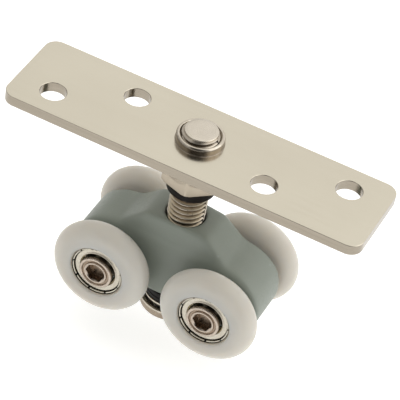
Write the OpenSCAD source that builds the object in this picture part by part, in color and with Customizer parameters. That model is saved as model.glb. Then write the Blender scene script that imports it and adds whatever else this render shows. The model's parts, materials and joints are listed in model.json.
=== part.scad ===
// Sliding door roller: four nylon wheels on a cast carriage that swivels on a
// threaded hanger bolt, which screws into a mounting plate for the door's edge.
// The origin is on the bolt's axis in the plate's door-side face. +X runs along
// the plate, +Z points out of that face, and the carriage is on the -Z side.

/* [Plate] */
// Length of the mounting plate
plate_l = 100; // [94:1:120]
// Width of the mounting plate
plate_w = 26.8; // [24:0.1:32]
// Thickness of the mounting plate
plate_t = 3; // [2.5:0.1:4]
// Corner radius of the mounting plate
plate_corner_r = 3.6; // [2:0.1:6]
// Diameter of the four screw holes
screw_hole_d = 7; // [5:0.1:8]
// Distance of the outer screw holes from the bolt's axis, along the plate
outer_hole_x = 39.2; // [36:0.1:42]
// Distance of the inner screw holes from the bolt's axis, along the plate
inner_hole_x = 20.6; // [18:0.1:24]
// Sideways stagger of the screw holes from the centre line
hole_stagger = 5.4; // [3:0.1:7]

/* [Bush] */
// Size of the bush's hexagon across its flats
hex_af = 15; // [14.6:0.1:17]
// Height of the bush's hexagon
hex_h = 9.4; // [6:0.1:10]
// Turn of the hexagon about the bolt's axis, in degrees
hex_turn = -18; // [-30:1:30]
// Diameter of the bush's shank in the plate, and of its peened lip above it
shank_d = 12.6; // [12:0.1:13.4]
// Height of the peened lip above the plate
lip_h = 2.2; // [1.5:0.1:3]
// Height of the lock collar under the hexagon
collar_h = 3.4; // [2:0.1:4]
// Diameter of the lock collar at the hexagon
collar_top_d = 14.8; // [14:0.1:15]
// Diameter of the lock collar at its free end
collar_end_d = 12.8; // [12:0.1:14]

/* [Hanger bolt] */
// Nominal diameter of the bolt's thread
thread_d = 10; // [9.8:0.1:10]
// Height of the bolt's end above the plate
bolt_top = 3.65; // [2.5:0.05:6]
// Diameter of the bolt's end face
bolt_end_d = 8.8; // [8:0.1:9.4]
// Diameter of the plain shank inside the carriage
pivot_d = 9.9; // [9.7:0.1:9.9]
// Diameter of the bolt's head
head_d = 16.3; // [15:0.1:17]
// Thickness of the bolt's head
head_t = 2.3; // [2:0.1:4]
// Size of the head's hexagon socket across its flats
head_socket_af = 5; // [4:0.5:6]

/* [Carriage] */
// Distance between the wheel axes
wheelbase = 31.3; // [29:0.1:34]
// Depth of the wheel axes below the plate's door-side face
axis_depth = 42.3; // [40:0.1:46]
// Radius of the round housing around each axle
housing_r = 11.2; // [10:0.1:12]
// Width of the cast body, across the plate
body_w = 14.4; // [13.6:0.1:16]
// Depth of the hump's top below the plate's door-side face
hump_top = 24.7; // [24:0.1:27]
// Width of the hump's top, across the plate
hump_top_w = 12.6; // [12.2:0.1:13.4]
// Half length of the hump's top, along the plate
hump_half_l = 8.6; // [8:0.1:10]
// Angle of the hump's sloping ends
hump_slope = 42; // [38:1:46]
// Depth of the pocket floor that carries the pivot bush's flange
pocket_depth = 49; // [48:0.1:50]
// Half length of that pocket, along the plate
pocket_half_l = 9.2; // [9:0.1:10]

/* [Wheels] */
// Diameter of a wheel
wheel_d = 27; // [25:0.1:28]
// Width of a wheel
wheel_w = 7.1; // [6.6:0.1:7.4]
// Distance between the outer faces of a front and a rear wheel
track_w = 32.8; // [32:0.1:34]

/* [Wheel bearings] */
// Outside diameter of a wheel bearing
bearing_od = 15; // [14.8:0.1:15.2]
// Bore of a wheel bearing
bearing_id = 6; // [5.9:0.1:6]
// Width of a wheel bearing
bearing_w = 5; // [4.8:0.1:5]
// Depth of a bearing's face below the wheel's face
bearing_recess = 0.65; // [0.4:0.05:0.8]
// Diameter of a bearing ball
ball_d = 2.38; // [2.2:0.01:2.4]
// Balls in a wheel bearing
ball_count = 7; // [6:1:8]
// Notches around a snap ring
notch_count = 9; // [6:1:12]

/* [Axle screws] */
// Diameter of an axle screw's head
axle_head_d = 9.3; // [8.8:0.1:9.6]
// Height of the head over the bearing
axle_head_t = 0.9; // [0.6:0.05:1.1]
// Size of the head's hexagon socket across its flats
axle_socket_af = 4.9; // [4:0.1:5]
// Diameter of the screw's thread in the cast body
axle_thread_d = 5; // [4:0.5:5.5]

/* [Thrust bearing] */
// Thickness of each thrust race
race_t = 0.75; // [0.7:0.05:0.8]
// Gap between the two thrust races
race_gap = 1; // [0.9:0.05:1.1]
// Diameter of the race that turns with the carriage
upper_race_d = 15; // [14.8:0.1:15.4]
// Diameter of the race that rests on the bolt's head
lower_race_d = 16.8; // [16:0.1:17]
// Diameter of a thrust ball
thrust_ball_d = 1.44; // [1.4:0.01:1.46]
// Balls in the thrust bearing
thrust_ball_count = 14; // [10:1:16]

/* [Hidden] */
$fn = 96;
// Radial clearance of the turning and screwing fits
run_fit = 0.06;
// Clearance around a ball in its groove or pocket
ball_gap = 0.08;
// Bevel of small turned edges
edge = 0.3;

hex_z = -plate_t - hex_h;
collar_z = hex_z - collar_h;
wheel_z = -axis_depth;
body_half = body_w / 2;
body_bore_d = 13;
bore_shoulder_z = -hump_top - 8;
thread_end_z = -hump_top - 2;
hump_round = 3;

bearing_out = track_w / 2 - bearing_recess;
bearing_in = bearing_out - bearing_w;
bearing_mid = bearing_out - bearing_w / 2;
wheel_in = track_w / 2 - wheel_w;
pitch_r = (bearing_od + bearing_id) / 4;
inner_land_r = 4.3;
outer_land_r = 6.3;
shield_seat_r = 7.2;
shield_seat_w = 0.9;
shield_t = 0.2;
cage_half_w = 1.45;
cage_half_t = 0.3;

flange_z = -pocket_depth - 2.9;
flange_d = 14.6;
upper_race_z = flange_z - race_t;
lower_race_z = upper_race_z - race_gap;
head_z = lower_race_z - race_t;
thrust_mid_z = upper_race_z - race_gap / 2;
thrust_pitch_r = 6.25;

// A washer-like ring from z0 up to z1
module ring(r_in, r_out, z0, z1) {
    rotate_extrude() translate([r_in, z0]) square([r_out - r_in, z1 - z0]);
}

// A hexagonal prism from z0 up to z1, given its size across the flats
module hexagon(af, z0, z1) {
    translate([0, 0, z0]) cylinder(d = af / cos(30), h = z1 - z0, $fn = 6);
}

// Children repeated evenly around the z axis at radius r
module around(count, r) {
    for (i = [0 : count - 1]) rotate([0, 0, i * 360 / count]) translate([r, 0, 0]) children();
}

// Moves a wheel's parts to its corner. Their own z axis points out of the
// carriage: end is -1 on the left and 1 on the right, side is -1 at the front.
module at_wheel(end, side) {
    translate([end * wheelbase / 2, 0, wheel_z]) rotate([-90 * side, 0, 0]) children();
}

// ---------- plate and bush ----------

module plate_outline() {
    inner_l = plate_l - 2 * plate_corner_r;
    inner_w = plate_w - 2 * plate_corner_r;
    square([plate_l, inner_w], center = true);
    square([inner_l, plate_w], center = true);
    for (x = [-1, 1], y = [-1, 1]) {
        translate([x * inner_l / 2, y * inner_w / 2]) circle(r = plate_corner_r);
    }
}

module mounting_plate() {
    color("#cfc6b4")
    translate([0, 0, -plate_t]) linear_extrude(plate_t) difference() {
        plate_outline();
        circle(d = shank_d);
        for (s = [-1, 1]) {
            translate([s * outer_hole_x, s * hole_stagger]) circle(d = screw_hole_d);
            translate([s * inner_hole_x, -s * hole_stagger]) circle(d = screw_hole_d);
        }
    }
}

// Hexagon whose free end is chamfered to a circle, as on a turned nut
module chamfered_hexagon() {
    flat_r = hex_af / 2;
    corner_r = flat_r / cos(30);
    chamfer = (corner_r - flat_r) * 0.6;
    intersection() {
        rotate([0, 0, hex_turn]) hexagon(hex_af, hex_z, -plate_t);
        rotate_extrude() polygon([
            [0, hex_z], [flat_r, hex_z], [corner_r, hex_z + chamfer],
            [corner_r, -plate_t], [0, -plate_t]
        ]);
    }
}

module threaded_bush() {
    bore_r = thread_d / 2 + run_fit;
    shank_r = shank_d / 2;
    color("#cbc1ae")
    difference() {
        union() {
            chamfered_hexagon();
            rotate_extrude() polygon([
                [0, hex_z + 1], [shank_r, hex_z + 1], [shank_r, lip_h - 0.8], [shank_r - 0.3, lip_h - 0.25],
                [shank_r - 0.9, lip_h], [bore_r + 0.35, lip_h], [bore_r, lip_h - 0.5], [0, lip_h - 0.5]
            ]);
        }
        ring(0, bore_r, hex_z - 1, lip_h + 1);
    }
}

module lock_collar() {
    bore_r = thread_d / 2 + run_fit;
    color("#1b1715")
    rotate_extrude() polygon([
        [bore_r, collar_z], [collar_end_d / 2 - edge, collar_z], [collar_end_d / 2, collar_z + edge],
        [collar_top_d / 2, hex_z], [bore_r, hex_z]
    ]);
}

// ---------- hanger bolt ----------

module hanger_bolt() {
    thread_r = thread_d / 2;
    end_r = bolt_end_d / 2;
    color("#a89c8b")
    difference() {
        rotate_extrude() polygon([
            [0, head_z - head_t], [head_d / 2 - edge, head_z - head_t], [head_d / 2, head_z - head_t + edge],
            [head_d / 2, head_z - edge], [head_d / 2 - edge, head_z], [pivot_d / 2, head_z],
            [pivot_d / 2, thread_end_z], [thread_r, thread_end_z], [thread_r, bolt_top - (thread_r - end_r)],
            [end_r, bolt_top], [0, bolt_top]
        ]);
        hexagon(head_socket_af, head_z - head_t - 1, head_z + 1);
    }
}

// ---------- thrust bearing and pivot ----------

module thrust_groove() {
    rotate_extrude() translate([thrust_pitch_r, thrust_mid_z]) circle(r = thrust_ball_d / 2 + ball_gap, $fn = 48);
}

module upper_race() {
    color("#b7ad9d")
    difference() {
        ring(pivot_d / 2 + 0.15, upper_race_d / 2, upper_race_z, flange_z);
        thrust_groove();
    }
}

module lower_race() {
    color("#b7ad9d")
    difference() {
        ring(pivot_d / 2 + 0.15, lower_race_d / 2, head_z, lower_race_z);
        thrust_groove();
    }
}

module thrust_cage() {
    color("#3a3630")
    difference() {
        ring(pivot_d / 2 + 0.35, 7.2, thrust_mid_z - 0.25, thrust_mid_z + 0.25);
        around(thrust_ball_count, thrust_pitch_r) {
            translate([0, 0, thrust_mid_z - 1]) cylinder(r = thrust_ball_d / 2 + ball_gap, h = 2, $fn = 32);
        }
    }
}

module thrust_balls() {
    color("#c9c5be")
    around(thrust_ball_count, thrust_pitch_r) {
        translate([0, 0, thrust_mid_z]) sphere(d = thrust_ball_d, $fn = 32);
    }
}

module pivot_bush() {
    bore_r = pivot_d / 2 + run_fit;
    color("#161412")
    rotate_extrude() polygon([
        [bore_r, flange_z], [flange_d / 2 - edge, flange_z], [flange_d / 2, flange_z + edge],
        [flange_d / 2, -pocket_depth], [body_bore_d / 2, -pocket_depth],
        [body_bore_d / 2, bore_shoulder_z], [bore_r, bore_shoulder_z]
    ]);
}

// ---------- cast carriage ----------

module across_body() {
    rotate([90, 0, 0]) linear_extrude(body_w + 2, center = true) children();
}

// Side shape of the cast body: two round housings, the bar between them and the
// hump, whose corners are eased and whose ends slope down on to the housings
module body_side() {
    half = wheelbase / 2;
    round_x = hump_half_l - hump_round * tan(hump_slope / 2);
    slope_x = round_x + hump_round * sin(hump_slope);
    slope_z = -hump_top - hump_round * (1 - cos(hump_slope));
    foot_z = wheel_z + housing_r - 0.8;
    foot_x = slope_x + (slope_z - foot_z) / tan(hump_slope);
    mid_x = round_x + hump_round * sin(hump_slope / 2);
    mid_z = -hump_top - hump_round * (1 - cos(hump_slope / 2));
    across_body() translate([-half, wheel_z]) circle(r = housing_r);
    across_body() translate([half, wheel_z]) circle(r = housing_r);
    across_body() polygon([
        [-half, wheel_z - housing_r], [-foot_x, wheel_z], [-foot_x, foot_z],
        [-slope_x, slope_z], [-mid_x, mid_z], [-round_x, -hump_top],
        [round_x, -hump_top], [mid_x, mid_z], [slope_x, slope_z],
        [foot_x, foot_z], [foot_x, wheel_z], [half, wheel_z - housing_r]
    ]);
}

// End view of the cast body: straight sides up to the housings' tops, then a
// ledge and the slightly tapered sides of the hump
module body_end() {
    ledge_z = wheel_z + housing_r;
    top_half = hump_top_w / 2;
    half = [
        [body_half, wheel_z - housing_r - 1], [body_half, ledge_z], [body_half - 0.5, ledge_z + 0.6],
        [top_half, -hump_top - 0.6], [top_half - 0.5, -hump_top + 0.1]
    ];
    polygon(concat(half, [for (i = [len(half) - 1 : -1 : 0]) [-half[i][0], half[i][1]]]));
}

module carriage_body() {
    long = wheelbase + 2 * housing_r + 2;
    color("#8b948a")
    difference() {
        intersection() {
            body_side();
            rotate([90, 0, 90]) linear_extrude(long, center = true) body_end();
        }
        translate([-pocket_half_l, -body_half - 1, wheel_z - housing_r - 1]) {
            cube([2 * pocket_half_l, body_w + 2, axis_depth + housing_r + 1 - pocket_depth]);
        }
        ring(0, body_bore_d / 2, -pocket_depth - 1, bore_shoulder_z);
        ring(0, thread_d / 2 + 0.3, bore_shoulder_z - 1, 0);
        for (end = [-1, 1], side = [-1, 1]) {
            at_wheel(end, side) ring(0, axle_thread_d / 2, 1, body_half + 1);
        }
    }
}

// ---------- wheels and their bearings ----------

module wheel() {
    tread_r = wheel_w / 2;
    seat_r = bearing_od / 2;
    color("#dcd9cf")
    rotate_extrude() difference() {
        union() {
            translate([wheel_d / 2 - tread_r, wheel_in + tread_r]) circle(r = tread_r);
            translate([outer_land_r, wheel_in]) square([wheel_d / 2 - tread_r - outer_land_r, wheel_w]);
        }
        polygon([
            [outer_land_r - 1, bearing_in], [seat_r, bearing_in], [seat_r, bearing_out],
            [seat_r + edge, track_w / 2 + 0.01], [outer_land_r - 1, track_w / 2 + 0.01]
        ]);
    }
}

module ball_groove() {
    rotate_extrude() translate([pitch_r, bearing_mid]) circle(r = ball_d / 2 + ball_gap, $fn = 48);
}

module outer_race() {
    color("#aaa397")
    difference() {
        ring(outer_land_r, bearing_od / 2, bearing_in, bearing_out);
        ball_groove();
        ring(0, shield_seat_r, bearing_out - shield_seat_w, bearing_out + 1);
        ring(0, shield_seat_r, bearing_in - 1, bearing_in + shield_seat_w);
    }
}

module inner_race() {
    color("#aaa397")
    difference() {
        ring(bearing_id / 2, inner_land_r, bearing_in, bearing_out);
        ball_groove();
    }
}

module balls() {
    color("#c9c5be")
    around(ball_count, pitch_r) translate([0, 0, bearing_mid]) sphere(d = ball_d, $fn = 32);
}

module ball_cage() {
    color("#8a7a55")
    difference() {
        ring(pitch_r - cage_half_t, pitch_r + cage_half_t, bearing_mid - cage_half_w, bearing_mid + cage_half_w);
        around(ball_count, pitch_r) translate([0, 0, bearing_mid]) rotate([0, 90, 0]) {
            cylinder(r = ball_d / 2 + ball_gap, h = 2, center = true, $fn = 48);
        }
    }
}

// Pressed shield: a raised dish inside a thin rim that the snap ring holds down
module shield() {
    rim_z = bearing_out - shield_seat_w;
    dish_r = 6.55;
    color("#b5afa4")
    rotate_extrude() polygon([
        [5.1, rim_z + 0.1], [dish_r - 0.15, rim_z + 0.1], [dish_r - 0.15, rim_z], [shield_seat_r, rim_z],
        [shield_seat_r, rim_z + shield_t], [dish_r, rim_z + shield_t],
        [dish_r, rim_z + 0.25], [dish_r - 0.15, rim_z + 0.35], [5.25, rim_z + 0.35], [5.1, rim_z + 0.25]
    ]);
}

module back_shield() {
    color("#b5afa4")
    ring(5, shield_seat_r, bearing_in + shield_seat_w - shield_t, bearing_in + shield_seat_w);
}

module snap_ring() {
    ring_z = bearing_out - shield_seat_w + shield_t;
    color("#a39c90")
    difference() {
        ring(6.72, 7.05, ring_z, bearing_out - 0.15);
        around(notch_count, 6.9) translate([0, 0, ring_z + 0.5]) cube([1, 0.45, 0.8], center = true);
        translate([0, 6.9, ring_z]) cube([0.5, 1, 3], center = true);
    }
}

module axle_screw() {
    head_r = axle_head_d / 2;
    shank_r = bearing_id / 2 - 0.01;
    head_face = bearing_out + axle_head_t;
    bevel = 0.15;
    color("#b3a596")
    difference() {
        rotate_extrude() polygon([
            [0, 1.5], [axle_thread_d / 2, 1.5], [axle_thread_d / 2, body_half], [shank_r, body_half],
            [shank_r, bearing_out], [head_r, bearing_out], [head_r, head_face - bevel],
            [head_r - bevel, head_face], [0, head_face]
        ]);
        hexagon(axle_socket_af, head_face - 2.4, head_face + 1);
    }
}

module spacer() {
    color("#b3a596")
    ring(bearing_id / 2, inner_land_r, body_half, bearing_in);
}

mounting_plate();
threaded_bush();
lock_collar();
hanger_bolt();
lower_race();
thrust_cage();
thrust_balls();
upper_race();
pivot_bush();
carriage_body();
at_wheel(-1, -1) wheel();  // wheel_fl
at_wheel(1, -1) wheel();  // wheel_fr
at_wheel(-1, 1) wheel();  // wheel_rl
at_wheel(1, 1) wheel();  // wheel_rr
at_wheel(-1, -1) outer_race();  // outer_race_fl
at_wheel(1, -1) outer_race();  // outer_race_fr
at_wheel(-1, 1) outer_race();  // outer_race_rl
at_wheel(1, 1) outer_race();  // outer_race_rr
at_wheel(-1, -1) inner_race();  // inner_race_fl
at_wheel(1, -1) inner_race();  // inner_race_fr
at_wheel(-1, 1) inner_race();  // inner_race_rl
at_wheel(1, 1) inner_race();  // inner_race_rr
at_wheel(-1, -1) balls();  // balls_fl
at_wheel(1, -1) balls();  // balls_fr
at_wheel(-1, 1) balls();  // balls_rl
at_wheel(1, 1) balls();  // balls_rr
at_wheel(-1, -1) ball_cage();  // ball_cage_fl
at_wheel(1, -1) ball_cage();  // ball_cage_fr
at_wheel(-1, 1) ball_cage();  // ball_cage_rl
at_wheel(1, 1) ball_cage();  // ball_cage_rr
at_wheel(-1, -1) shield();  // shield_fl
at_wheel(1, -1) shield();  // shield_fr
at_wheel(-1, 1) shield();  // shield_rl
at_wheel(1, 1) shield();  // shield_rr
at_wheel(-1, -1) back_shield();  // back_shield_fl
at_wheel(1, -1) back_shield();  // back_shield_fr
at_wheel(-1, 1) back_shield();  // back_shield_rl
at_wheel(1, 1) back_shield();  // back_shield_rr
at_wheel(-1, -1) snap_ring();  // snap_ring_fl
at_wheel(1, -1) snap_ring();  // snap_ring_fr
at_wheel(-1, 1) snap_ring();  // snap_ring_rl
at_wheel(1, 1) snap_ring();  // snap_ring_rr
at_wheel(-1, -1) axle_screw();  // axle_screw_fl
at_wheel(1, -1) axle_screw();  // axle_screw_fr
at_wheel(-1, 1) axle_screw();  // axle_screw_rl
at_wheel(1, 1) axle_screw();  // axle_screw_rr
at_wheel(-1, -1) spacer();  // spacer_fl
at_wheel(1, -1) spacer();  // spacer_fr
at_wheel(-1, 1) spacer();  // spacer_rl
at_wheel(1, 1) spacer();  // spacer_rr
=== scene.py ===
import json
import math

import bmesh
import bpy
from mathutils import Matrix, Vector

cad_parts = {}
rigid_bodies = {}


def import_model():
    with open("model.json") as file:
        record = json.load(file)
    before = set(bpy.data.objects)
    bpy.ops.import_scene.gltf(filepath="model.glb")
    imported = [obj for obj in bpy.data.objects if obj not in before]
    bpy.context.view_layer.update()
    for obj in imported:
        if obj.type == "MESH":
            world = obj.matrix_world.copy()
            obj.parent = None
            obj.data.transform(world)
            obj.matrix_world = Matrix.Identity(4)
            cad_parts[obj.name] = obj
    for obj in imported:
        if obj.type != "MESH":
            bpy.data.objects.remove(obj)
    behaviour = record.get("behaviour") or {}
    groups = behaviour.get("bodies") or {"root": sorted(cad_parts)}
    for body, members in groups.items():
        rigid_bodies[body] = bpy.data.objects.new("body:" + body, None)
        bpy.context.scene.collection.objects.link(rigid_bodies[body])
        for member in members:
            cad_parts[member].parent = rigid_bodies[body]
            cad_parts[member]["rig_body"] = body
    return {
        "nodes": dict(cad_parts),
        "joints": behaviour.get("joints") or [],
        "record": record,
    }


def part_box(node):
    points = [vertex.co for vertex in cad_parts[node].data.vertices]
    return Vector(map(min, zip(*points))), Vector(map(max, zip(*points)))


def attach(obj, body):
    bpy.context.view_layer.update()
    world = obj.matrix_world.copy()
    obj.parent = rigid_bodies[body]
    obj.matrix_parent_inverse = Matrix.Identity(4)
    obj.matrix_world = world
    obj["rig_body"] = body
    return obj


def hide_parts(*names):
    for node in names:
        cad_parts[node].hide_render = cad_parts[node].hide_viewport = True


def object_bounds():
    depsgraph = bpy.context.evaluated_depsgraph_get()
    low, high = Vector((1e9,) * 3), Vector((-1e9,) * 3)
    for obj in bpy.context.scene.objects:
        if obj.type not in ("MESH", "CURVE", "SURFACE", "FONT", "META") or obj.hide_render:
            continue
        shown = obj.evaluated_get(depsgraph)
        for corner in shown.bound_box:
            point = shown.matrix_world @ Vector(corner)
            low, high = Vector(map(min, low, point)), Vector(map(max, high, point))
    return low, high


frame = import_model()
cad_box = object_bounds()

# Meshes are worked out in millimetres and scaled to the frame's metres at the end.
MM = 0.001
CORNERS = {"fl": -1, "fr": -1, "rl": 1, "rr": 1}   # the side of the carriage: -1 is the front
SLOTS = {part["node"]: part["material_slot"] for part in frame["record"]["subparts"]}


# ---------- sizes, read from the frame ----------

def turned(node):
    """Radius, lowest and highest z of a node that is round about the bolt's axis, in mm."""
    lo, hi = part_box(node)
    return (hi.x - lo.x) / 2 / MM, lo.z / MM, hi.z / MM


def at_wheel(node):
    """Radius of a node that is round about a wheel's axle, and its reach from the mid plane, in mm."""
    lo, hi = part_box(node)
    near, far = sorted((abs(lo.y), abs(hi.y)))
    return (hi.z - lo.z) / 2 / MM, near / MM, far / MM


def axle_place(corner):
    """Moves a mesh whose own z axis points out of the carriage to its corner."""
    lo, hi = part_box(f"wheel_{corner}")
    centre = Vector(((lo.x + hi.x) / 2, 0, (lo.z + hi.z) / 2))
    return Matrix.Translation(centre) @ Matrix.Rotation(-CORNERS[corner] * math.pi / 2, 4, "X")


def bush_sizes():
    """The bush's sizes: its hexagon and lip from the frame, and its shank under the lip."""
    lo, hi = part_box("threaded_bush")
    return {"low": lo.z / MM, "top": hi.z / MM, "shank_r": 6.3, "bore_r": 5.06,
            "flats": 15.0, "turn": -18.0, "plate_low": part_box("mounting_plate")[0].z / MM}


# ---------- mesh building ----------

def arc(r, z, radius, start, end, steps=12):
    """Points of a circular arc about (r, z), with its angles in degrees from the +r direction."""
    angles = [math.radians(start + (end - start) * i / steps) for i in range(steps + 1)]
    return [(r + radius * math.cos(a), z + radius * math.sin(a), 0) for a in angles]


def rounded(corners, closed=True, steps=4):
    """The section through (r, z, fillet) corners, each one rounded over its fillet length."""
    section = []
    for i, (r, z, fillet) in enumerate(corners):
        here = Vector((r, z))
        if fillet == 0 or (not closed and i in (0, len(corners) - 1)):
            section.append((r, z))
            continue
        before = Vector(corners[i - 1][:2]) - here
        after = Vector(corners[(i + 1) % len(corners)][:2]) - here
        cut = min(fillet, before.length * 0.48, after.length * 0.48)
        start, end = here + before.normalized() * cut, here + after.normalized() * cut
        for k in range(steps + 1):
            t = k / steps
            section.append(tuple(start * (1 - t) ** 2 + here * 2 * t * (1 - t) + end * t ** 2))
    return section


def spin(outline, segments=144, closed=True):
    """A solid turned about z. outline(angle) gives its (r, z) section, always with as many points."""
    bm = bmesh.new()
    rings = []
    for i in range(segments):
        angle = 2 * math.pi * i / segments
        rings.append([
            bm.verts.new((r * math.cos(angle), r * math.sin(angle), z)) for r, z in outline(angle)
        ])
    count = len(rings[0])
    for i in range(segments):
        one, two = rings[i], rings[(i + 1) % segments]
        for j in range(count if closed else count - 1):
            k = (j + 1) % count
            bm.faces.new((one[j], two[j], two[k], one[k]))
    bmesh.ops.remove_doubles(bm, verts=bm.verts, dist=1e-5)
    bmesh.ops.dissolve_degenerate(bm, edges=bm.edges, dist=1e-6)
    return bm


def hexagon_radius(angle, across_flats, turn=0.0, corner_cut=0.0):
    """Distance to a hexagon's outline at an angle, with its corners cut back to a circle."""
    sector = (angle - math.radians(turn)) % (math.pi / 3) - math.pi / 6
    corner = across_flats / 2 / math.cos(math.pi / 6)
    return min(across_flats / 2 / math.cos(sector), corner - corner_cut)


def finished_mesh(name, bm, materials, sharp=30):
    """A smooth-shaded mesh in metres, with edges sharper than an angle kept crisp."""
    bmesh.ops.recalc_face_normals(bm, faces=bm.faces)
    bmesh.ops.scale(bm, vec=(MM, MM, MM), verts=bm.verts)
    mesh = bpy.data.meshes.new(name)
    bm.to_mesh(mesh)
    bm.free()
    for material in materials:
        mesh.materials.append(material)
    mesh.polygons.foreach_set("use_smooth", [True] * len(mesh.polygons))
    mesh.set_sharp_from_angle(angle=math.radians(sharp))
    return mesh


def evaluated_mesh(piece):
    """A new mesh: the piece's own with its modifiers applied."""
    shown = piece.evaluated_get(bpy.context.evaluated_depsgraph_get())
    return bpy.data.meshes.new_from_object(shown)


def flat_faced(mesh):
    """A new mesh whose big flat faces keep their own normals right up to its rounded edges."""
    work = bpy.data.objects.new("flat_work", mesh)
    bpy.context.scene.collection.objects.link(work)
    weighted = work.modifiers.new("weighted", "WEIGHTED_NORMAL")
    weighted.keep_sharp = True
    result = evaluated_mesh(work)
    bpy.data.objects.remove(work)
    result.name = mesh.name
    return result


def place(name, mesh, node, matrix=None):
    """Puts a mesh in the scene as the piece that stands for a CAD node, hides the node, and puts the
    piece on the node's body.
    """
    piece = bpy.data.objects.new(name, mesh)
    bpy.context.scene.collection.objects.link(piece)
    if matrix is not None:
        piece.matrix_world = matrix
    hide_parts(node)
    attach(piece, frame["nodes"][node]["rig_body"])
    return piece


def place_at_wheels(kind, mesh, turns=None):
    """Puts one mesh at all four wheels, turned about its axle by an angle for each corner."""
    for corner in CORNERS:
        turn = Matrix.Rotation(math.radians((turns or {}).get(corner, 0)), 4, "Z")
        node = f"{kind}_{corner}"
        place(f"{node}_fine", mesh, node, axle_place(corner) @ turn)


# ---------- material building ----------

def add(tree, kind, inputs=None, **settings):
    """Adds a node. An input is a value for its socket, or another node's output to link."""
    node = tree.nodes.new(kind)
    for key, value in settings.items():
        setattr(node, key, value)
    for key, value in (inputs or {}).items():
        if isinstance(value, bpy.types.NodeSocket):
            tree.links.new(value, node.inputs[key])
        else:
            node.inputs[key].default_value = value
    return node


class Finish:
    """A procedural material: a Principled shader and the textures that feed it."""

    def __init__(self, name, roughness=0.4, metallic=0.0, **constants):
        self.material = bpy.data.materials.new(name)
        self.material.use_nodes = True
        self.tree = self.material.node_tree
        self.shader = self.tree.nodes["Principled BSDF"]
        self.set(Roughness=roughness, Metallic=metallic)
        for key, value in constants.items():
            self.shader.inputs[key.replace("_", " ")].default_value = value
        self.coords = add(self.tree, "ShaderNodeTexCoord").outputs["Object"]
        self.normal = None

    def set(self, **values):
        for key, value in values.items():
            self.shader.inputs[key.replace("_", " ")].default_value = value

    def noise(self, scale, stretch=(1, 1, 1), detail=3.0, roughness=0.5, coords=None):
        """Noise with features of about 1 / scale metres, drawn out by stretch."""
        mapped = add(self.tree, "ShaderNodeMapping", {
            "Vector": coords or self.coords, "Scale": stretch})
        return add(self.tree, "ShaderNodeTexNoise", {
            "Vector": mapped.outputs[0], "Scale": scale, "Detail": detail,
            "Roughness": roughness}).outputs["Fac"]

    def radius(self):
        """Distance from the piece's own z axis."""
        flat = add(self.tree, "ShaderNodeVectorMath", {0: self.coords, 1: (1, 1, 0)},
                   operation="MULTIPLY")
        return add(self.tree, "ShaderNodeVectorMath", {0: flat.outputs[0]},
                   operation="LENGTH").outputs["Value"]

    def height(self):
        """Height along the piece's own z axis."""
        return add(self.tree, "ShaderNodeSeparateXYZ", {"Vector": self.coords}).outputs["Z"]

    def rings(self, scale, detail=2.0):
        """Noise that changes only with the distance from the piece's own z axis, like turning marks."""
        return add(self.tree, "ShaderNodeTexNoise", {
            "W": self.radius(), "Scale": scale, "Detail": detail},
            noise_dimensions="1D").outputs["Fac"]

    def span(self, value, low, high, to_low=0.0, to_high=1.0):
        """Maps a value from one span to another, clamped."""
        return add(self.tree, "ShaderNodeMapRange", {
            "Value": value, "From Min": low, "From Max": high,
            "To Min": to_low, "To Max": to_high}).outputs[0]

    def mix(self, factor, one, two, blend_type="MIX"):
        """Mixes two colours, each a tuple or a socket."""
        def rgba(colour):
            return colour if isinstance(colour, bpy.types.NodeSocket) else (*colour, 1)
        return add(self.tree, "ShaderNodeMix", {0: factor, 6: rgba(one), 7: rgba(two)},
                   data_type="RGBA", blend_type=blend_type).outputs[2]

    def product(self, one, two):
        return add(self.tree, "ShaderNodeMath", {0: one, 1: two}, operation="MULTIPLY").outputs[0]

    def hollow(self):
        """1 in a crease or hollow and 0 on open faces and edges."""
        pointed = add(self.tree, "ShaderNodeNewGeometry").outputs["Pointiness"]
        return self.span(pointed, 0.5, 0.44)

    def edge(self):
        """1 on an outer edge and 0 elsewhere."""
        pointed = add(self.tree, "ShaderNodeNewGeometry").outputs["Pointiness"]
        return self.span(pointed, 0.51, 0.56)

    def turned(self, strength):
        """Streaks the reflections across the rings that turning leaves round the piece's z axis."""
        tangent = add(self.tree, "ShaderNodeTangent", direction_type="RADIAL", axis="Z")
        self.tree.links.new(tangent.outputs[0], self.shader.inputs["Tangent"])
        self.set(Anisotropic=strength)

    def colour(self, value):
        self.tree.links.new(value, self.shader.inputs["Base Color"])

    def roughness(self, value):
        self.tree.links.new(value, self.shader.inputs["Roughness"])

    def bump(self, height, depth, strength=1.0):
        """Adds relief of a depth in metres on top of the relief already there."""
        inputs = {"Height": height, "Distance": depth, "Strength": strength}
        if self.normal:
            inputs["Normal"] = self.normal
        self.normal = add(self.tree, "ShaderNodeBump", inputs).outputs[0]
        self.tree.links.new(self.normal, self.shader.inputs["Normal"])


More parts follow.
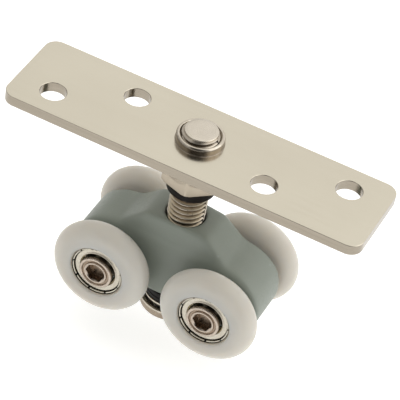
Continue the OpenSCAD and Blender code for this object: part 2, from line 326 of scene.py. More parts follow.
def plate_nickel():
    """Satin nickel over a finely brushed sheet; its sideways faces, the sheared edges, are darker:
    partly their own duller finish, partly painted shade.
    """
    f = Finish("plate_nickel_fine", metallic=1.0)
    cloud = f.noise(28, detail=4)
    brushed = f.noise(700, stretch=(0.03, 1, 1), detail=5, roughness=0.65)
    face = f.mix(f.span(cloud, 0.3, 0.7), (0.595, 0.545, 0.44), (0.635, 0.585, 0.475))
    face = f.mix(f.span(brushed, 0.35, 0.7, 0, 0.25), face, (0.69, 0.64, 0.535))
    up = add(f.tree, "ShaderNodeSeparateXYZ", {
        "Vector": add(f.tree, "ShaderNodeTexCoord").outputs["Normal"]}).outputs["Z"]
    # Painted shade in part: faces that turn sideways get a darker colour, partly the sheared edges' own
    # finish and partly shade painted in.
    side = f.span(add(f.tree, "ShaderNodeMath", {0: up}, operation="ABSOLUTE").outputs[0], 0.75, 0.3)
    sheared = f.noise(420, stretch=(0.05, 1, 1.6), detail=4, roughness=0.7)
    blanked_and_shaded = f.mix(f.span(sheared, 0.3, 0.7), (0.295, 0.26, 0.21), (0.345, 0.305, 0.25))
    f.colour(f.mix(side, face, blanked_and_shaded))
    f.roughness(f.span(brushed, 0.2, 0.8, 0.17, 0.27))
    f.bump(brushed, 0.000006, 0.5)
    f.bump(f.product(sheared, side), 0.00005, 0.6)
    return f.material


def bush_nickel():
    """Satin nickel over turned and milled steel, for the hexagon."""
    f = Finish("bush_nickel_fine", metallic=1.0)
    cloud = f.noise(160, detail=3)
    milled = f.noise(900, stretch=(1, 1, 0.06), detail=4, roughness=0.6)
    f.colour(f.mix(f.span(cloud, 0.3, 0.7), (0.385, 0.335, 0.265), (0.43, 0.375, 0.30)))
    f.roughness(f.span(milled, 0.2, 0.8, 0.30, 0.42))
    f.bump(milled, 0.000008, 0.5)
    return f.material


def bright_nickel():
    """Nickel on the peened lip: a painted highlight over its edge, a painted dark reflection in brown
    down its side, and painted shade in the crease at the bore's mouth.
    """
    f = Finish("bright_nickel_fine", metallic=1.0)
    rings = f.rings(5200)
    stain = f.noise(520, detail=4, roughness=0.6)
    edge_z = (bush_sizes()["top"] - 0.5) * MM
    # Painted reflection and highlight: the side is coloured dark brown for the dark reflection it
    # shows, and the top pale as a painted highlight; the stain varies each at random.
    side = f.mix(f.span(stain, 0.35, 0.7), (0.34, 0.295, 0.245), (0.265, 0.22, 0.175))
    peened = f.mix(f.span(stain, 0.35, 0.7), (0.64, 0.58, 0.49), (0.50, 0.44, 0.355))
    face = f.mix(f.span(f.height(), edge_z, edge_z + 0.2 * MM), side, peened)
    # Painted shade: the crease at the mouth of the bore is coloured near black.
    groove = f.product(f.hollow(), f.span(f.height(), edge_z - 0.2 * MM, edge_z))
    f.colour(f.mix(groove, face, (0.06, 0.042, 0.027)))
    f.roughness(f.span(rings, 0.3, 0.7, 0.16, 0.26))
    f.bump(rings, 0.000008, 0.5)
    f.bump(stain, 0.00001, 0.2)
    return f.material


def faced_nickel():
    """Nickel over the bolt's faced end: faint turning rings that run out towards its rim."""
    f = Finish("faced_nickel_fine", metallic=1.0)
    rings = f.rings(3800)
    cloud = f.noise(260, detail=3)
    f.colour(f.mix(f.span(cloud, 0.3, 0.7), (0.60, 0.545, 0.455), (0.66, 0.60, 0.51)))
    f.roughness(f.span(rings, 0.3, 0.7, 0.24, 0.32))
    f.turned(0.7)
    f.bump(rings, 0.000006, 0.4)
    return f.material


def thread_nickel():
    """Nickel on a rolled thread: brown-grey flanks, with a painted highlight on the crests and painted
    shade in the roots.
    """
    f = Finish("thread_nickel_fine", metallic=1.0)
    stain = f.noise(900, detail=4, roughness=0.65)
    depth = f.radius()
    flank = f.mix(f.span(stain, 0.35, 0.7), (0.50, 0.44, 0.36), (0.40, 0.345, 0.275))
    # Painted shade: the roots of the thread are coloured dark.
    root_shaded = f.mix(f.span(depth, 0.0042, 0.00465), (0.21, 0.172, 0.13), flank)
    # Painted highlight: the crests are coloured bright.
    f.colour(f.mix(f.span(depth, 0.00465, 0.0049), root_shaded, (0.56, 0.505, 0.42)))
    f.roughness(f.span(stain, 0.3, 0.75, 0.26, 0.40))
    f.bump(stain, 0.00002, 0.3)
    return f.material


def head_nickel():
    """Nickel on the bolt's forged head and shank: warm brown, with a painted highlight along its outer
    edges.
    """
    f = Finish("head_nickel_fine", metallic=1.0)
    cloud = f.noise(420, detail=4, roughness=0.6)
    face = f.mix(f.span(cloud, 0.3, 0.7), (0.25, 0.20, 0.15), (0.35, 0.29, 0.225))
    # Painted highlight: outer edges are coloured bright.
    f.colour(f.mix(f.edge(), face, (0.55, 0.48, 0.39)))
    f.roughness(f.span(cloud, 0.3, 0.7, 0.22, 0.36))
    f.bump(cloud, 0.00001, 0.3)
    return f.material


def dark_plastic(name, colour, roughness):
    """Black engineering plastic with a faint moulded grain and rubbed edges."""
    f = Finish(name, roughness=roughness, Specular_IOR_Level=0.1)
    grain = f.noise(2600, detail=2)
    rub = f.noise(350, detail=5, roughness=0.65)
    light = tuple(c * 1.7 + 0.004 for c in colour)
    base = f.mix(f.span(rub, 0.4, 0.75, 0, 0.6), colour, light)
    f.colour(f.mix(f.product(f.edge(), 0.5), base, tuple(c * 2 + 0.01 for c in colour)))
    f.roughness(f.span(rub, 0.3, 0.7, roughness - 0.08, roughness + 0.1))
    f.bump(grain, 0.00002, 0.4)
    return f.material


def cast_paint():
    """Grey-green powder paint on a die casting: fine orange peel, a painted highlight on its edges and
    painted shade in its hollows.
    """
    f = Finish("cast_paint_fine", Specular_IOR_Level=0.42)
    cloud = f.noise(60, detail=4)
    peel = f.noise(1500, detail=2, roughness=0.4)
    speck = f.noise(5200, detail=1)
    base = f.mix(f.span(cloud, 0.3, 0.7), (0.208, 0.232, 0.196), (0.232, 0.255, 0.22))
    base = f.mix(f.span(speck, 0.62, 0.78, 0, 0.15), base, (0.32, 0.345, 0.305))
    # Painted shade: hollows and creases are coloured darker.
    base = f.mix(f.product(f.hollow(), 0.5), base, (0.10, 0.11, 0.10))
    # Painted highlight: outer edges are coloured paler.
    f.colour(f.mix(f.product(f.edge(), 0.3), base, (0.29, 0.32, 0.295)))
    f.roughness(f.span(peel, 0.3, 0.7, 0.38, 0.52))
    f.bump(peel, 0.00003, 0.35)
    f.bump(speck, 0.00001, 0.25)
    return f.material


def white_nylon():
    """Milky nylon: light gets into it, and a faint glow is painted in to lift its shade; with faint
    turning lines and a few dull rubbed patches.
    """
    # Painted light: the faint emission lifts the wheels' shaded parts.
    f = Finish("white_nylon_fine", Subsurface_Weight=1.0, Subsurface_Scale=0.012,
               Subsurface_Radius=(1.0, 0.85, 0.7), Specular_IOR_Level=0.38,
               Emission_Color=(1.0, 0.97, 0.9, 1), Emission_Strength=0.06)
    cloud = f.noise(75, detail=3)
    rings = f.rings(2300)
    rub = f.noise(420, detail=5, roughness=0.7)
    base = f.mix(f.span(cloud, 0.3, 0.7), (0.42, 0.406, 0.37), (0.46, 0.447, 0.41))
    f.colour(f.mix(f.span(rub, 0.55, 0.8, 0, 0.3), base, (0.40, 0.375, 0.33)))
    f.roughness(f.span(rub, 0.3, 0.75, 0.36, 0.52))
    f.bump(rings, 0.000012, 0.35)
    f.bump(rub, 0.00002, 0.15)
    return f.material


def bearing_steel(name, pale, dark, roughness, crease_shade=0.8):
    """Ground or pressed steel with turning rings, a brownish oil film, and painted shade that darkens
    its corners.
    """
    f = Finish(name, metallic=1.0)
    rings = f.rings(6500)
    film = f.noise(700, detail=4, roughness=0.6)
    face = f.mix(f.span(film, 0.35, 0.7), pale, dark)
    # Painted shade: corners and hollows are coloured near black, by the amount given.
    f.colour(f.mix(f.product(f.hollow(), crease_shade), face, (0.035, 0.03, 0.022)))
    f.roughness(f.span(rings, 0.3, 0.7, roughness - 0.06, roughness + 0.08))
    f.bump(rings, 0.00001, 0.5)
    return f.material


def banded_steel(name, pale, dark, roughness, black_shade):
    """Bearing steel, painted black in places as shade: the mask function given is 0 where the steel is
    plain, 1 where it is painted black.
    """
    f = Finish(name, metallic=1.0)
    film = f.noise(700, detail=4, roughness=0.6)
    rings = f.rings(6500)
    face = f.mix(f.span(film, 0.35, 0.7), pale, dark)
    # Painted shade: where the mask is 1 the steel is coloured near black.
    f.colour(f.mix(black_shade(f), face, (0.012, 0.010, 0.007)))
    f.roughness(f.span(rings, 0.3, 0.7, roughness - 0.05, roughness + 0.07))
    f.bump(rings, 0.000008, 0.4)
    return f.material


def shield_steel():
    """Pressed steel, plain on the raised dish and painted black as shade on the rim under the snap
    ring.
    """
    return banded_steel("shield_steel_fine", (0.55, 0.515, 0.44), (0.46, 0.42, 0.35), 0.26,
                        # Painted shade: the mask is 1 on the rim under the snap ring.
                        lambda f: f.span(f.radius(), 0.0065, 0.0066))


def snap_steel():
    """Spring steel, painted black as shade down in its notches and gap."""
    low = at_wheel("snap_ring_fl")[1]
    return banded_steel("snap_steel_fine", (0.60, 0.57, 0.49), (0.47, 0.43, 0.36), 0.26,
                        # Painted shade: the mask is 1 low down, on the floors of the notches and the
                        # gap.
                        lambda f: f.span(f.height(), (low + 0.35) * MM, (low + 0.2) * MM))


def outer_race_steel():
    """The outer ring: dull and darkened on its face as painted shade, and painted black as shade in the
    seat of the shield.
    """
    # Painted shade: the face colours are darkened, and the mask is 1 inside the shield's seat.
    return banded_steel("outer_race_fine", (0.36, 0.325, 0.26), (0.25, 0.22, 0.17), 0.3,
                        lambda f: f.span(f.radius(), 0.00728, 0.00721))


def axle_nickel():
    """Nickel on the axle screws: pale brown faces, with painted shade darker down in the groove and the
    socket.
    """
    high = at_wheel("axle_screw_fl")[2]
    f = Finish("axle_nickel_fine", metallic=1.0)
    film = f.noise(900, detail=4, roughness=0.6)
    face = f.mix(f.span(film, 0.35, 0.7), (0.50, 0.43, 0.365), (0.40, 0.335, 0.275))
    sunk_shade = f.span(f.height(), (high - 0.12) * MM, (high - 0.5) * MM)
    # Painted shade: below the head's face the colour turns dark, in the groove and the socket.
    f.colour(f.mix(sunk_shade, face, (0.29, 0.225, 0.17)))
    f.roughness(f.span(film, 0.3, 0.7, 0.22, 0.34))
    f.bump(film, 0.000008, 0.3)
    return f.material


FINISHES = {
    "plate_nickel": plate_nickel(),
    "bush_nickel": bush_nickel(),
    "bright_nickel": bright_nickel(),
    "faced_nickel": faced_nickel(),
    "head_nickel": head_nickel(),
    "collar_black": dark_plastic("collar_black_fine", (0.006, 0.004, 0.003), 0.5),
    "bolt_nickel": thread_nickel(),
    "race_steel": bearing_steel("race_steel_fine", (0.60, 0.55, 0.47), (0.42, 0.37, 0.30), 0.24),
    "cage_dark": dark_plastic("cage_dark_fine", (0.03, 0.027, 0.024), 0.5),
    "ball_steel": bearing_steel("ball_steel_fine", (0.74, 0.73, 0.71), (0.62, 0.60, 0.57), 0.14, 0.0),
    "bush_acetal": dark_plastic("bush_acetal_fine", (0.010, 0.009, 0.008), 0.36),
    "cast_grey": cast_paint(),
    "nylon_white": white_nylon(),
    "bearing_steel": bearing_steel("bearing_steel_fine", (0.46, 0.42, 0.34), (0.30, 0.265, 0.205), 0.3),
    "cage_brass": bearing_steel("cage_brass_fine", (0.50, 0.40, 0.22), (0.36, 0.28, 0.15), 0.34),
    "outer_race_steel": outer_race_steel(),
    "shield_steel": shield_steel(),
    "snap_steel": snap_steel(),
    "axle_nickel": axle_nickel(),
    "spacer_steel": bearing_steel("spacer_steel_fine", (0.50, 0.46, 0.40), (0.38, 0.34, 0.28), 0.34),
}


def dress_cad_nodes():
    """Gives every CAD node its finish, including those that a finer piece stands for."""
    for name, node in frame["nodes"].items():
        node.data.materials.clear()
        node.data.materials.append(FINISHES[SLOTS[name]])


# ---------- plate, bush and collar ----------

def plate_piece():
    """The pressed plate: rounded corners, soft edges, and four staggered holes beside the bush's."""
    lo, hi = (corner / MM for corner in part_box("mounting_plate"))
    corner_r, soften = 3.6, 0.18
    hole_r, stagger, outer_x, inner_x = 3.5, 5.4, 39.2, 20.6
    shank_r = bush_sizes()["shank_r"]
    bm = bmesh.new()

    def loop(points):
        verts = [bm.verts.new((x, y, hi.z)) for x, y in points]
        for i, vert in enumerate(verts):
            bm.edges.new((vert, verts[(i + 1) % len(verts)]))

    outline = []
    for k, (sx, sy) in enumerate(((1, 1), (-1, 1), (-1, -1), (1, -1))):
        cx, cy = sx * (hi.x - corner_r), sy * (hi.y - corner_r)
        outline += [(x, y) for x, y, _ in arc(cx, cy, corner_r, 90 * k, 90 * k + 90, 14)]
    loop(outline)
    holes = [(s * outer_x, s * stagger, hole_r) for s in (1, -1)]
    holes += [(s * inner_x, -s * stagger, hole_r) for s in (1, -1)] + [(0, 0, shank_r)]
    for cx, cy, radius in holes:
        loop([(x, y) for x, y, _ in arc(cx, cy, radius, 0, 360, 72)[:-1]])
    bmesh.ops.triangle_fill(bm, use_beauty=True, use_dissolve=False, edges=bm.edges)
    rims = [e for e in bm.edges if e.is_boundary]
    walls = bmesh.ops.extrude_edge_only(bm, edges=rims)["geom"]
    low_verts = [v for v in walls if isinstance(v, bmesh.types.BMVert)]
    low_edges = [e for e in walls if isinstance(e, bmesh.types.BMEdge)]
    bmesh.ops.translate(bm, verts=low_verts, vec=(0, 0, lo.z - hi.z))
    bmesh.ops.triangle_fill(bm, use_beauty=True, use_dissolve=False, edges=low_edges)
    bm.normal_update()
    edges = [e for e in bm.edges if e.calc_face_angle(0) > math.radians(60)]
    bmesh.ops.bevel(bm, geom=edges, offset=soften, segments=3, profile=0.5, affect="EDGES")
    mesh = finished_mesh("plate_mesh", bm, [FINISHES["plate_nickel"]], sharp=40)
    place("mounting_plate_fine", flat_faced(mesh), "mounting_plate")


def bush_piece():
    """Hexagon with a turned chamfer and a faint witness line, and the peened lip over the plate."""
    s = bush_sizes()
    chamfer_r = 8.1
    line_z, line_rise, line_depth = -9.7, 1.6, 0.03
    flat = s["flats"] / 2

    def outline(angle):
        side = hexagon_radius(angle, s["flats"], s["turn"], 0.12)
        corner = (side - flat) / (flat / math.cos(math.pi / 6) - flat)
        foot = min(side, chamfer_r)
        line = line_z + line_rise * corner
        return rounded([
            (s["bore_r"], s["low"], 0.1), (foot - 0.1, s["low"], 0.08),
            (side, s["low"] + (side - foot) * 0.6 + 0.12, 0.15),
            (side, line - 0.15, 0), (side - line_depth, line, 0), (side, line + 0.15, 0),
            (side, s["plate_low"], 0), (s["shank_r"] - 0.02, s["plate_low"], 0),
            (s["shank_r"] - 0.02, -0.25, 0), (s["shank_r"] + 0.16, 0.01, 0.03),
            (s["shank_r"] + 0.05, 0.08, 0.05), (s["shank_r"], 0.22, 0.05),
            (s["shank_r"], s["top"] - 0.45, 0.3), (s["shank_r"] - 0.4, s["top"] - 0.04, 0.12),
            (s["shank_r"] - 0.62, s["top"], 0.08), (s["bore_r"] + 0.4, s["top"] - 0.02, 0.1),
            (s["bore_r"] + 0.05, s["top"] - 0.5, 0.05), (s["bore_r"], s["top"] - 0.6, 0.05),
        ])

    bm = spin(outline, segments=240)
    for face in bm.faces:
        face.material_index = 1 if face.calc_center_median().z > s["plate_low"] + 0.1 else 0
    mesh = finished_mesh("bush_mesh", bm, [FINISHES["bush_nickel"], FINISHES["bright_nickel"]])
    place("threaded_bush_fine", mesh, "threaded_bush")


def collar_piece():
    """The black lock collar under the hexagon, tapered to its free end."""
    top_r, low, high = turned("lock_collar")
    bore_r = bush_sizes()["bore_r"]
    end_r = 6.4
    section = rounded([
        (bore_r, low, 0.15), (end_r, low, 0.3), (end_r + 0.15, low + 0.9, 0.4),
        (top_r, high - 0.35, 0.2), (top_r, high, 0.06), (bore_r, high, 0.05),
    ])
    mesh = finished_mesh("collar_mesh", spin(lambda a: section), [FINISHES["collar_black"]])
    place("lock_collar_fine", mesh, "lock_collar")


# ---------- hanger bolt ----------

THREAD_PITCH = 1.5
THREAD_DEPTH = 0.92
THREAD_START = -26.7


def thread_depth_at(phase):
    """How far a metric thread lies below its crest, over one pitch: crest, flank, root, flank."""
    crest, flank = 0.16, 0.32
    phase %= 1.0
    rise = min(max((phase - crest) / flank, 0.0), 1.0) if phase < 0.64 else 1.0
    fall = min(max((phase - 0.68) / flank, 0.0), 1.0)
    depth = rise - fall
    return THREAD_DEPTH * (depth * depth * (3 - 2 * depth) * 0.35 + depth * 0.65)


def bolt_piece():
    """The bolt with a true rolled helix, a faced end, a plain shank and a round head with a socket."""
    head_r, low, top = turned("hanger_bolt")
    head_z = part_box("lower_race")[0].z / MM
    crest_r, end_r, shank_r = 5.0, 4.4, 4.95
    rows_per_turn, segments = 14, 96
    socket_flats = 5.0
    shaft_top, rim_r = top - 0.5, 3.5

    def shaft_radius(angle, z):
        depth = thread_depth_at(z / THREAD_PITCH - angle / (2 * math.pi))
        fade = min(max((z - THREAD_START) / THREAD_PITCH, 0.0), 1.0)
        end = end_r + 0.02 + max(0.0, shaft_top - z) * 1.1
        return min(crest_r - depth * fade - (crest_r - shank_r) * (1 - fade), end)

    turns = math.ceil((shaft_top - THREAD_START) / THREAD_PITCH) + 1

    def outline(angle):
        lead = angle / (2 * math.pi)
        section = rounded([
            (0, low + 2.4, 0), (socket_r(angle), low + 2.2, 0.1), (socket_r(angle), low + 0.25, 0),
            (socket_r(angle) + 0.22, low, 0.08), (head_r - 0.3, low, 0.1), (head_r, low + 0.35, 0.25),
            (head_r, head_z - 0.3, 0.2), (head_r - 0.25, head_z, 0.1), (shank_r, head_z, 0.1),
            (shank_r, THREAD_START, 0),
        ], closed=False)
        for row in range(1, turns * rows_per_turn):
            z = THREAD_START + (row / rows_per_turn - 1 + lead) * THREAD_PITCH
            z = min(max(z, THREAD_START), shaft_top)
            section.append((shaft_radius(angle, z), z))
        section.append((shaft_radius(angle, shaft_top), shaft_top))
        section += rounded([
            (end_r + 0.02, shaft_top, 0), (end_r, top - 0.32, 0.05), (end_r - 0.12, top - 0.2, 0.1),
            (rim_r, top - 0.015, 0.3), (rim_r - 0.08, top - 0.03, 0.04), (rim_r - 0.5, top, 0.3),
            (0, top, 0),
        ], closed=False)
        return section

    def socket_r(angle):
        return hexagon_radius(angle, socket_flats, 0, 0.08)

    bm = spin(outline, segments=segments, closed=False)
    for face in bm.faces:
        z = face.calc_center_median().z
        face.material_index = 1 if z > shaft_top else 2 if z < THREAD_START else 0
    finishes = [FINISHES[name] for name in ("bolt_nickel", "faced_nickel", "head_nickel")]
    mesh = finished_mesh("bolt_mesh", bm, finishes, sharp=38)
    place("hanger_bolt_fine", mesh, "hanger_bolt")


# ---------- thrust bearing and pivot bush ----------

THRUST_PITCH_R = 6.25


def race_piece(node, groove_up):
    """A thrust race with soft edges and its ball groove on the inner face."""
    outer_r, low, high = turned(node)
    bore_r, groove_r = 5.1, 0.8
    mid = (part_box("thrust_balls")[0].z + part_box("thrust_balls")[1].z) / 2 / MM
    face = high if groove_up else low
    reach = math.degrees(math.acos(abs(face - mid) / groove_r))
    if groove_up:
        groove = arc(THRUST_PITCH_R, mid, groove_r, -90 + reach, -90 - reach)
        corners = [(bore_r, low, 0.1), (outer_r, low, 0.2), (outer_r, high, 0.2), *groove,
                   (bore_r, high, 0.1)]
    else:
        groove = arc(THRUST_PITCH_R, mid, groove_r, 90 + reach, 90 - reach)
        corners = [(bore_r, low, 0.1), *groove, (outer_r, low, 0.2), (outer_r, high, 0.2),
                   (bore_r, high, 0.1)]
    section = rounded(corners)
    mesh = finished_mesh(f"{node}_mesh", spin(lambda a: section), [FINISHES["race_steel"]])
    place(f"{node}_fine", mesh, node)


def pivot_bush_piece():
    """The black flanged bush that is pressed into the carriage."""
    flange_r, low, high = turned("pivot_bush")
    bore_r, sleeve_r, flange_top = 5.01, 6.5, -49.0
    section = rounded([
        (bore_r, low, 0.15), (flange_r, low, 0.35), (flange_r, low + 1.3, 0.05),
        (flange_r - 0.12, low + 1.4, 0.05), (flange_r - 0.12, low + 1.55, 0.05),
        (flange_r, low + 1.65, 0.05), (flange_r, flange_top, 0.1),
        (sleeve_r, flange_top, 0), (sleeve_r, high, 0.1), (bore_r, high, 0.1),
    ])
    mesh = finished_mesh("pivot_bush_mesh", spin(lambda a: section), [FINISHES["bush_acetal"]])
    place("pivot_bush_fine", mesh, "pivot_bush")


# ---------- cast body ----------

def body_piece():
    """The casting: the CAD body remeshed and relaxed, so that its edges become cast radii.

    It is relaxed fully on the hump, less on the housings, and hardly at all at the bore.
    """
    voxel, relax = 0.28 * MM, 170
    hump_low, hump_high = -39, -32
    bore_r, blend_r = 6.0, 9.0
    source = frame["nodes"]["carriage_body"]
    work = bpy.data.objects.new("body_work", source.data.copy())
    bpy.context.scene.collection.objects.link(work)
    weld = work.modifiers.new("weld", "WELD")
    weld.merge_threshold = 1e-6
    remesh = work.modifiers.new("remesh", "REMESH")
    remesh.mode, remesh.voxel_size = "VOXEL", voxel
    work.data = evaluated_mesh(work)
    work.modifiers.clear()
    soft = work.vertex_groups.new(name="soft")
    for vert in work.data.vertices:
        reach, height = math.hypot(vert.co.x, vert.co.y) / MM, vert.co.z / MM
        weight = min(max((height - hump_low) / (hump_high - hump_low), 0.4), 1.0)
        weight *= min(max((reach - bore_r) / (blend_r - bore_r), 0.12), 1.0)
        soft.add([vert.index], weight, "REPLACE")
    smooth = work.modifiers.new("smooth", "SMOOTH")
    smooth.factor, smooth.iterations, smooth.vertex_group = 0.5, relax, soft.name
    mesh = evaluated_mesh(work)
    bpy.data.objects.remove(work)
    mesh.name = "body_mesh"
    mesh.materials.clear()
    mesh.materials.append(FINISHES["cast_grey"])
    mesh.polygons.foreach_set("use_smooth", [True] * len(mesh.polygons))
    place("carriage_body_fine", mesh, "carriage_body")


# ---------- wheels and their bearings ----------

LAND_IN_R = 4.3
LAND_OUT_R = 6.3
SHIELD_SEAT_R = 7.2
SHIELD_SEAT_W = 0.9
BALL_PITCH_R = 5.25
GROOVE_R = 1.27
SNAP_RING_TURNS = {"fl": 18, "fr": 3, "rl": 31, "rr": 12}   # degrees, each ring as it happened to sit


def wheel_pieces():
    """Nylon wheels with a half-round tread and a softened bearing seat."""
    wheel_r, inner, outer = at_wheel("wheel_fl")
    race_r, race_in, _ = at_wheel("outer_race_fl")
    tread_r = (outer - inner) / 2
    tread = arc(wheel_r - tread_r, inner + tread_r, tread_r, -90, 90, 40)
    section = rounded([
        (LAND_OUT_R, inner, 0.2), *tread, (race_r + 0.4, outer, 0.35), (race_r, outer - 0.42, 0.12),
        (race_r, race_in, 0.05), (LAND_OUT_R, race_in, 0.1),
    ])
    mesh = finished_mesh("wheel_mesh", spin(lambda a: section, 192), [FINISHES["nylon_white"]])
    place_at_wheels("wheel", mesh)


def race_pieces():
    """The wheel bearings' rings, with ball grooves, and seats for the shields in the outer ring."""
    race_r, low, high = at_wheel("outer_race_fl")
    bore_r = 3.0
    mid = (low + high) / 2
    outer_half = math.degrees(math.acos((LAND_OUT_R - BALL_PITCH_R) / GROOVE_R))
    inner_half = math.degrees(math.acos((BALL_PITCH_R - LAND_IN_R) / GROOVE_R))
    outer = rounded([
        (race_r, low, 0.25), (race_r, high, 0.2), (SHIELD_SEAT_R, high, 0.04),
        (SHIELD_SEAT_R, high - SHIELD_SEAT_W, 0), (LAND_OUT_R, high - SHIELD_SEAT_W, 0.08),
        *arc(BALL_PITCH_R, mid, GROOVE_R, outer_half, -outer_half),
        (LAND_OUT_R, low + SHIELD_SEAT_W, 0.08),
        (SHIELD_SEAT_R, low + SHIELD_SEAT_W, 0), (SHIELD_SEAT_R, low, 0.08),
    ])
    inner = rounded([
        (bore_r, low, 0.15), (LAND_IN_R, low, 0.12),
        *arc(BALL_PITCH_R, mid, GROOVE_R, 180 + inner_half, 180 - inner_half),
        (LAND_IN_R, high, 0.12), (bore_r, high, 0.15),
    ])
    outer_mesh = finished_mesh("outer_race_mesh", spin(lambda a: outer), [FINISHES["outer_race_steel"]])
    place_at_wheels("outer_race", outer_mesh)
    inner_mesh = finished_mesh("inner_race_mesh", spin(lambda a: inner), [FINISHES["bearing_steel"]])
    place_at_wheels("inner_race", inner_mesh)


def shield_pieces():
    """Pressed shields: a rim in the seat, a raised dish and a rolled inner lip."""
    _, low, high = at_wheel("shield_fl")
    section = rounded([
        (5.1, low + 0.1, 0.03), (6.4, low + 0.1, 0.03), (6.4, low, 0.03), (SHIELD_SEAT_R, low, 0.03),
        (SHIELD_SEAT_R, low + 0.2, 0.05), (6.56, low + 0.2, 0.03), (6.42, high - 0.02, 0.1),
        (5.6, high - 0.03, 0.1), (5.5, high - 0.06, 0.05), (5.3, high, 0.08), (5.1, high - 0.08, 0.05),
    ])
    mesh = finished_mesh("shield_mesh", spin(lambda a: section), [FINISHES["shield_steel"]])
    place_at_wheels("shield", mesh)


def snap_ring_pieces():
    """Split rings that hold the shields, with crimp notches across them."""
    ring_r, low, high = at_wheel("snap_ring_fl")
    inner_r, notches, notch_half, gap_half = 6.74, 9, math.radians(2.3), math.radians(2.6)

    def outline(angle):
        to_notch = abs((angle + math.pi / notches) % (2 * math.pi / notches) - math.pi / notches)
        top = high
        if to_notch < notch_half:
            top = low + 0.08
        if abs(angle - math.pi / 2) < gap_half:
            top = low + 0.03
        return rounded([
            (inner_r, low, 0.02), (ring_r, low, 0.02), (ring_r, top, 0.06), (inner_r, top, 0.06),
        ])

    mesh = finished_mesh("snap_ring_mesh", spin(outline, segments=432), [FINISHES["snap_steel"]])
    place_at_wheels("snap_ring", mesh, SNAP_RING_TURNS)


def axle_screw_pieces():
    """Axle screws: thread, plain journal, and a low head with a turned groove and a hexagon socket."""
    head_r, low, high = at_wheel("axle_screw_fl")
    seat = at_wheel("inner_race_fl")[2]
    body_half = at_wheel("spacer_fl")[1]
    thread_r, journal_r, flats = 2.5, 2.99, 4.9
    groove_r, groove_depth, socket_depth, mouth_r = 3.6, 0.5, 2.35, 2.8

    def outline(angle):
        socket = hexagon_radius(angle, flats, 0, 0.1)
        return rounded([
            (0, low, 0), (thread_r - 0.3, low, 0.1), (thread_r, low + 0.3, 0.1),
            (thread_r, body_half, 0), (journal_r, body_half, 0.05), (journal_r, seat, 0),
            (head_r, seat, 0.05), (head_r, high - 0.05, 0.4), (groove_r + 0.38, high, 0.15),
            (groove_r + 0.18, high - groove_depth, 0.1), (groove_r - 0.3, high - groove_depth, 0.1),
            (groove_r - 0.42, high - 0.02, 0.08),
            (mouth_r, high - 0.02, 0.05), (socket, high - 0.02 - (mouth_r - socket) * 0.9, 0.04),
            (socket, high - socket_depth, 0.08), (0, high - socket_depth - 0.05, 0),
        ], closed=False)

    mesh = finished_mesh("axle_screw_mesh", spin(outline, closed=False), [FINISHES["axle_nickel"]])
    place_at_wheels("axle_screw", mesh)


# ---------- studio ----------

LIGHT_DISTANCE = 0.6
FLOOR_DROP = 12
FLOOR_HALF = 6.0


def floor():
    """A plain pale floor, below the carriage's lowest position."""
    travel = next(j["range_m"][0] for j in frame["joints"] if j["name"] == "height_adjust")
    z = cad_box[0].z + travel - FLOOR_DROP * MM
    corners = [(sx * FLOOR_HALF, sy * FLOOR_HALF, z) for sx, sy in ((-1, -1), (1, -1), (1, 1), (-1, 1))]
    mesh = bpy.data.meshes.new("floor_mesh")
    mesh.from_pydata(corners, [], [(0, 1, 2, 3)])
    f = Finish("floor_white", roughness=0.9, Specular_IOR_Level=0.1)
    f.colour(f.mix(f.noise(40, detail=2), (0.93, 0.93, 0.92), (0.95, 0.95, 0.94)))
    f.set(Emission_Color=(1, 1, 0.99, 1), Emission_Strength=0.37)
    mesh.materials.append(f.material)
    piece = bpy.data.objects.new("floor", mesh)
    bpy.context.scene.collection.objects.link(piece)


def area_light(name, aim, azimuth, elevation, size, power, mirrored=True):
    """A soft square light, at an azimuth and elevation in degrees round the object.

    One that isn't mirrored leaves no reflection in the metal.
    """
    data = bpy.data.lights.new(name, "AREA")
    data.shape, data.size, data.energy = "SQUARE", size, power
    lamp = bpy.data.objects.new(name, data)
    lamp.visible_glossy = mirrored
    bpy.context.scene.collection.objects.link(lamp)
    back = round_about(azimuth, elevation)
    lamp.location = aim + back * LIGHT_DISTANCE
    lamp.rotation_mode = "QUATERNION"
    lamp.rotation_quaternion = back.to_track_quat("Z", "Y")


def round_about(azimuth, elevation):
    """The direction from the object to a viewer. Azimuth 0 is on the -Y side, 90 on the +X side."""
    a, e = math.radians(azimuth), math.radians(elevation)
    return Vector((math.sin(a) * math.cos(e), -math.cos(a) * math.cos(e), math.sin(e)))


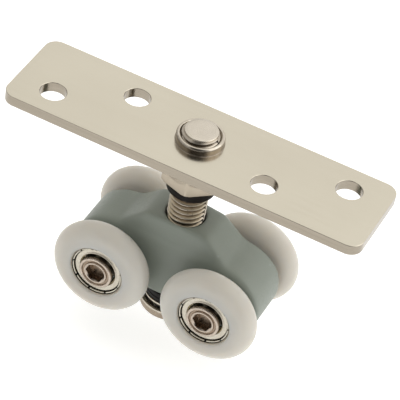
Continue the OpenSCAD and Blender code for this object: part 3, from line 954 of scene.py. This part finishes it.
def sky():
    """A white tent, dimmer low at the front, with the dark opening that a camera looks in through."""
    world = bpy.data.worlds.new("studio")
    bpy.context.scene.world = world
    world.use_nodes = True
    tree = world.node_tree
    towards = add(tree, "ShaderNodeTexCoord").outputs["Generated"]

    def facing(direction, low, high, to_low, to_high):
        dot = add(tree, "ShaderNodeVectorMath", {0: towards, 1: tuple(direction)},
                  operation="DOT_PRODUCT").outputs["Value"]
        return add(tree, "ShaderNodeMapRange", {
            "Value": dot, "From Min": low, "From Max": high, "To Min": to_low, "To Max": to_high},
            interpolation_type="SMOOTHSTEP").outputs[0]

    tent = facing(Vector((0.34, 0.42, 0.84)).normalized(), -0.7, 0.95, 0.2, 1.08)
    edge, core = math.cos(math.radians(42)), math.cos(math.radians(29))
    opening = facing(round_about(25, 42), edge, core, 1.0, 0.09)
    level = add(tree, "ShaderNodeMath", {0: tent, 1: opening}, operation="MULTIPLY").outputs[0]
    tree.links.new(level, tree.nodes["Background"].inputs["Strength"])
    tree.nodes["Background"].inputs["Color"].default_value = (1.0, 0.995, 0.985, 1)


def camera():
    """A long lens, above the plate's front right, rolled a little."""
    data = bpy.data.cameras.new("camera")
    data.lens, data.sensor_width = 221.724, 36
    data.clip_start, data.clip_end = 0.01, 50
    aim = Vector((5.928, -8.340, -10.946)) * MM
    distance, roll = 0.6176, math.radians(11.072)
    back = round_about(19.0567, 41.8102)
    eye = bpy.data.objects.new("camera", data)
    bpy.context.scene.collection.objects.link(eye)
    eye.location = aim + back * distance
    turn = back.to_track_quat("Z", "Y").to_matrix() @ Matrix.Rotation(roll, 3, "Z")
    eye.rotation_mode = "QUATERNION"
    eye.rotation_quaternion = turn.to_quaternion()
    bpy.context.scene.camera = eye


def studio():
    floor()
    sky()
    centre = (cad_box[0] + cad_box[1]) / 2
    area_light("key", centre, azimuth=100, elevation=45, size=0.7, power=1.2)
    area_light("fill", centre, azimuth=5, elevation=58, size=0.4, power=1.0, mirrored=False)
    bpy.context.scene.view_settings.view_transform = "Standard"


# ---------- the object ----------

dress_cad_nodes()
plate_piece()
bush_piece()
collar_piece()
bolt_piece()
race_piece("lower_race", groove_up=True)
race_piece("upper_race", groove_up=False)
pivot_bush_piece()
body_piece()
wheel_pieces()
race_pieces()
shield_pieces()
snap_ring_pieces()
axle_screw_pieces()
studio()
camera()
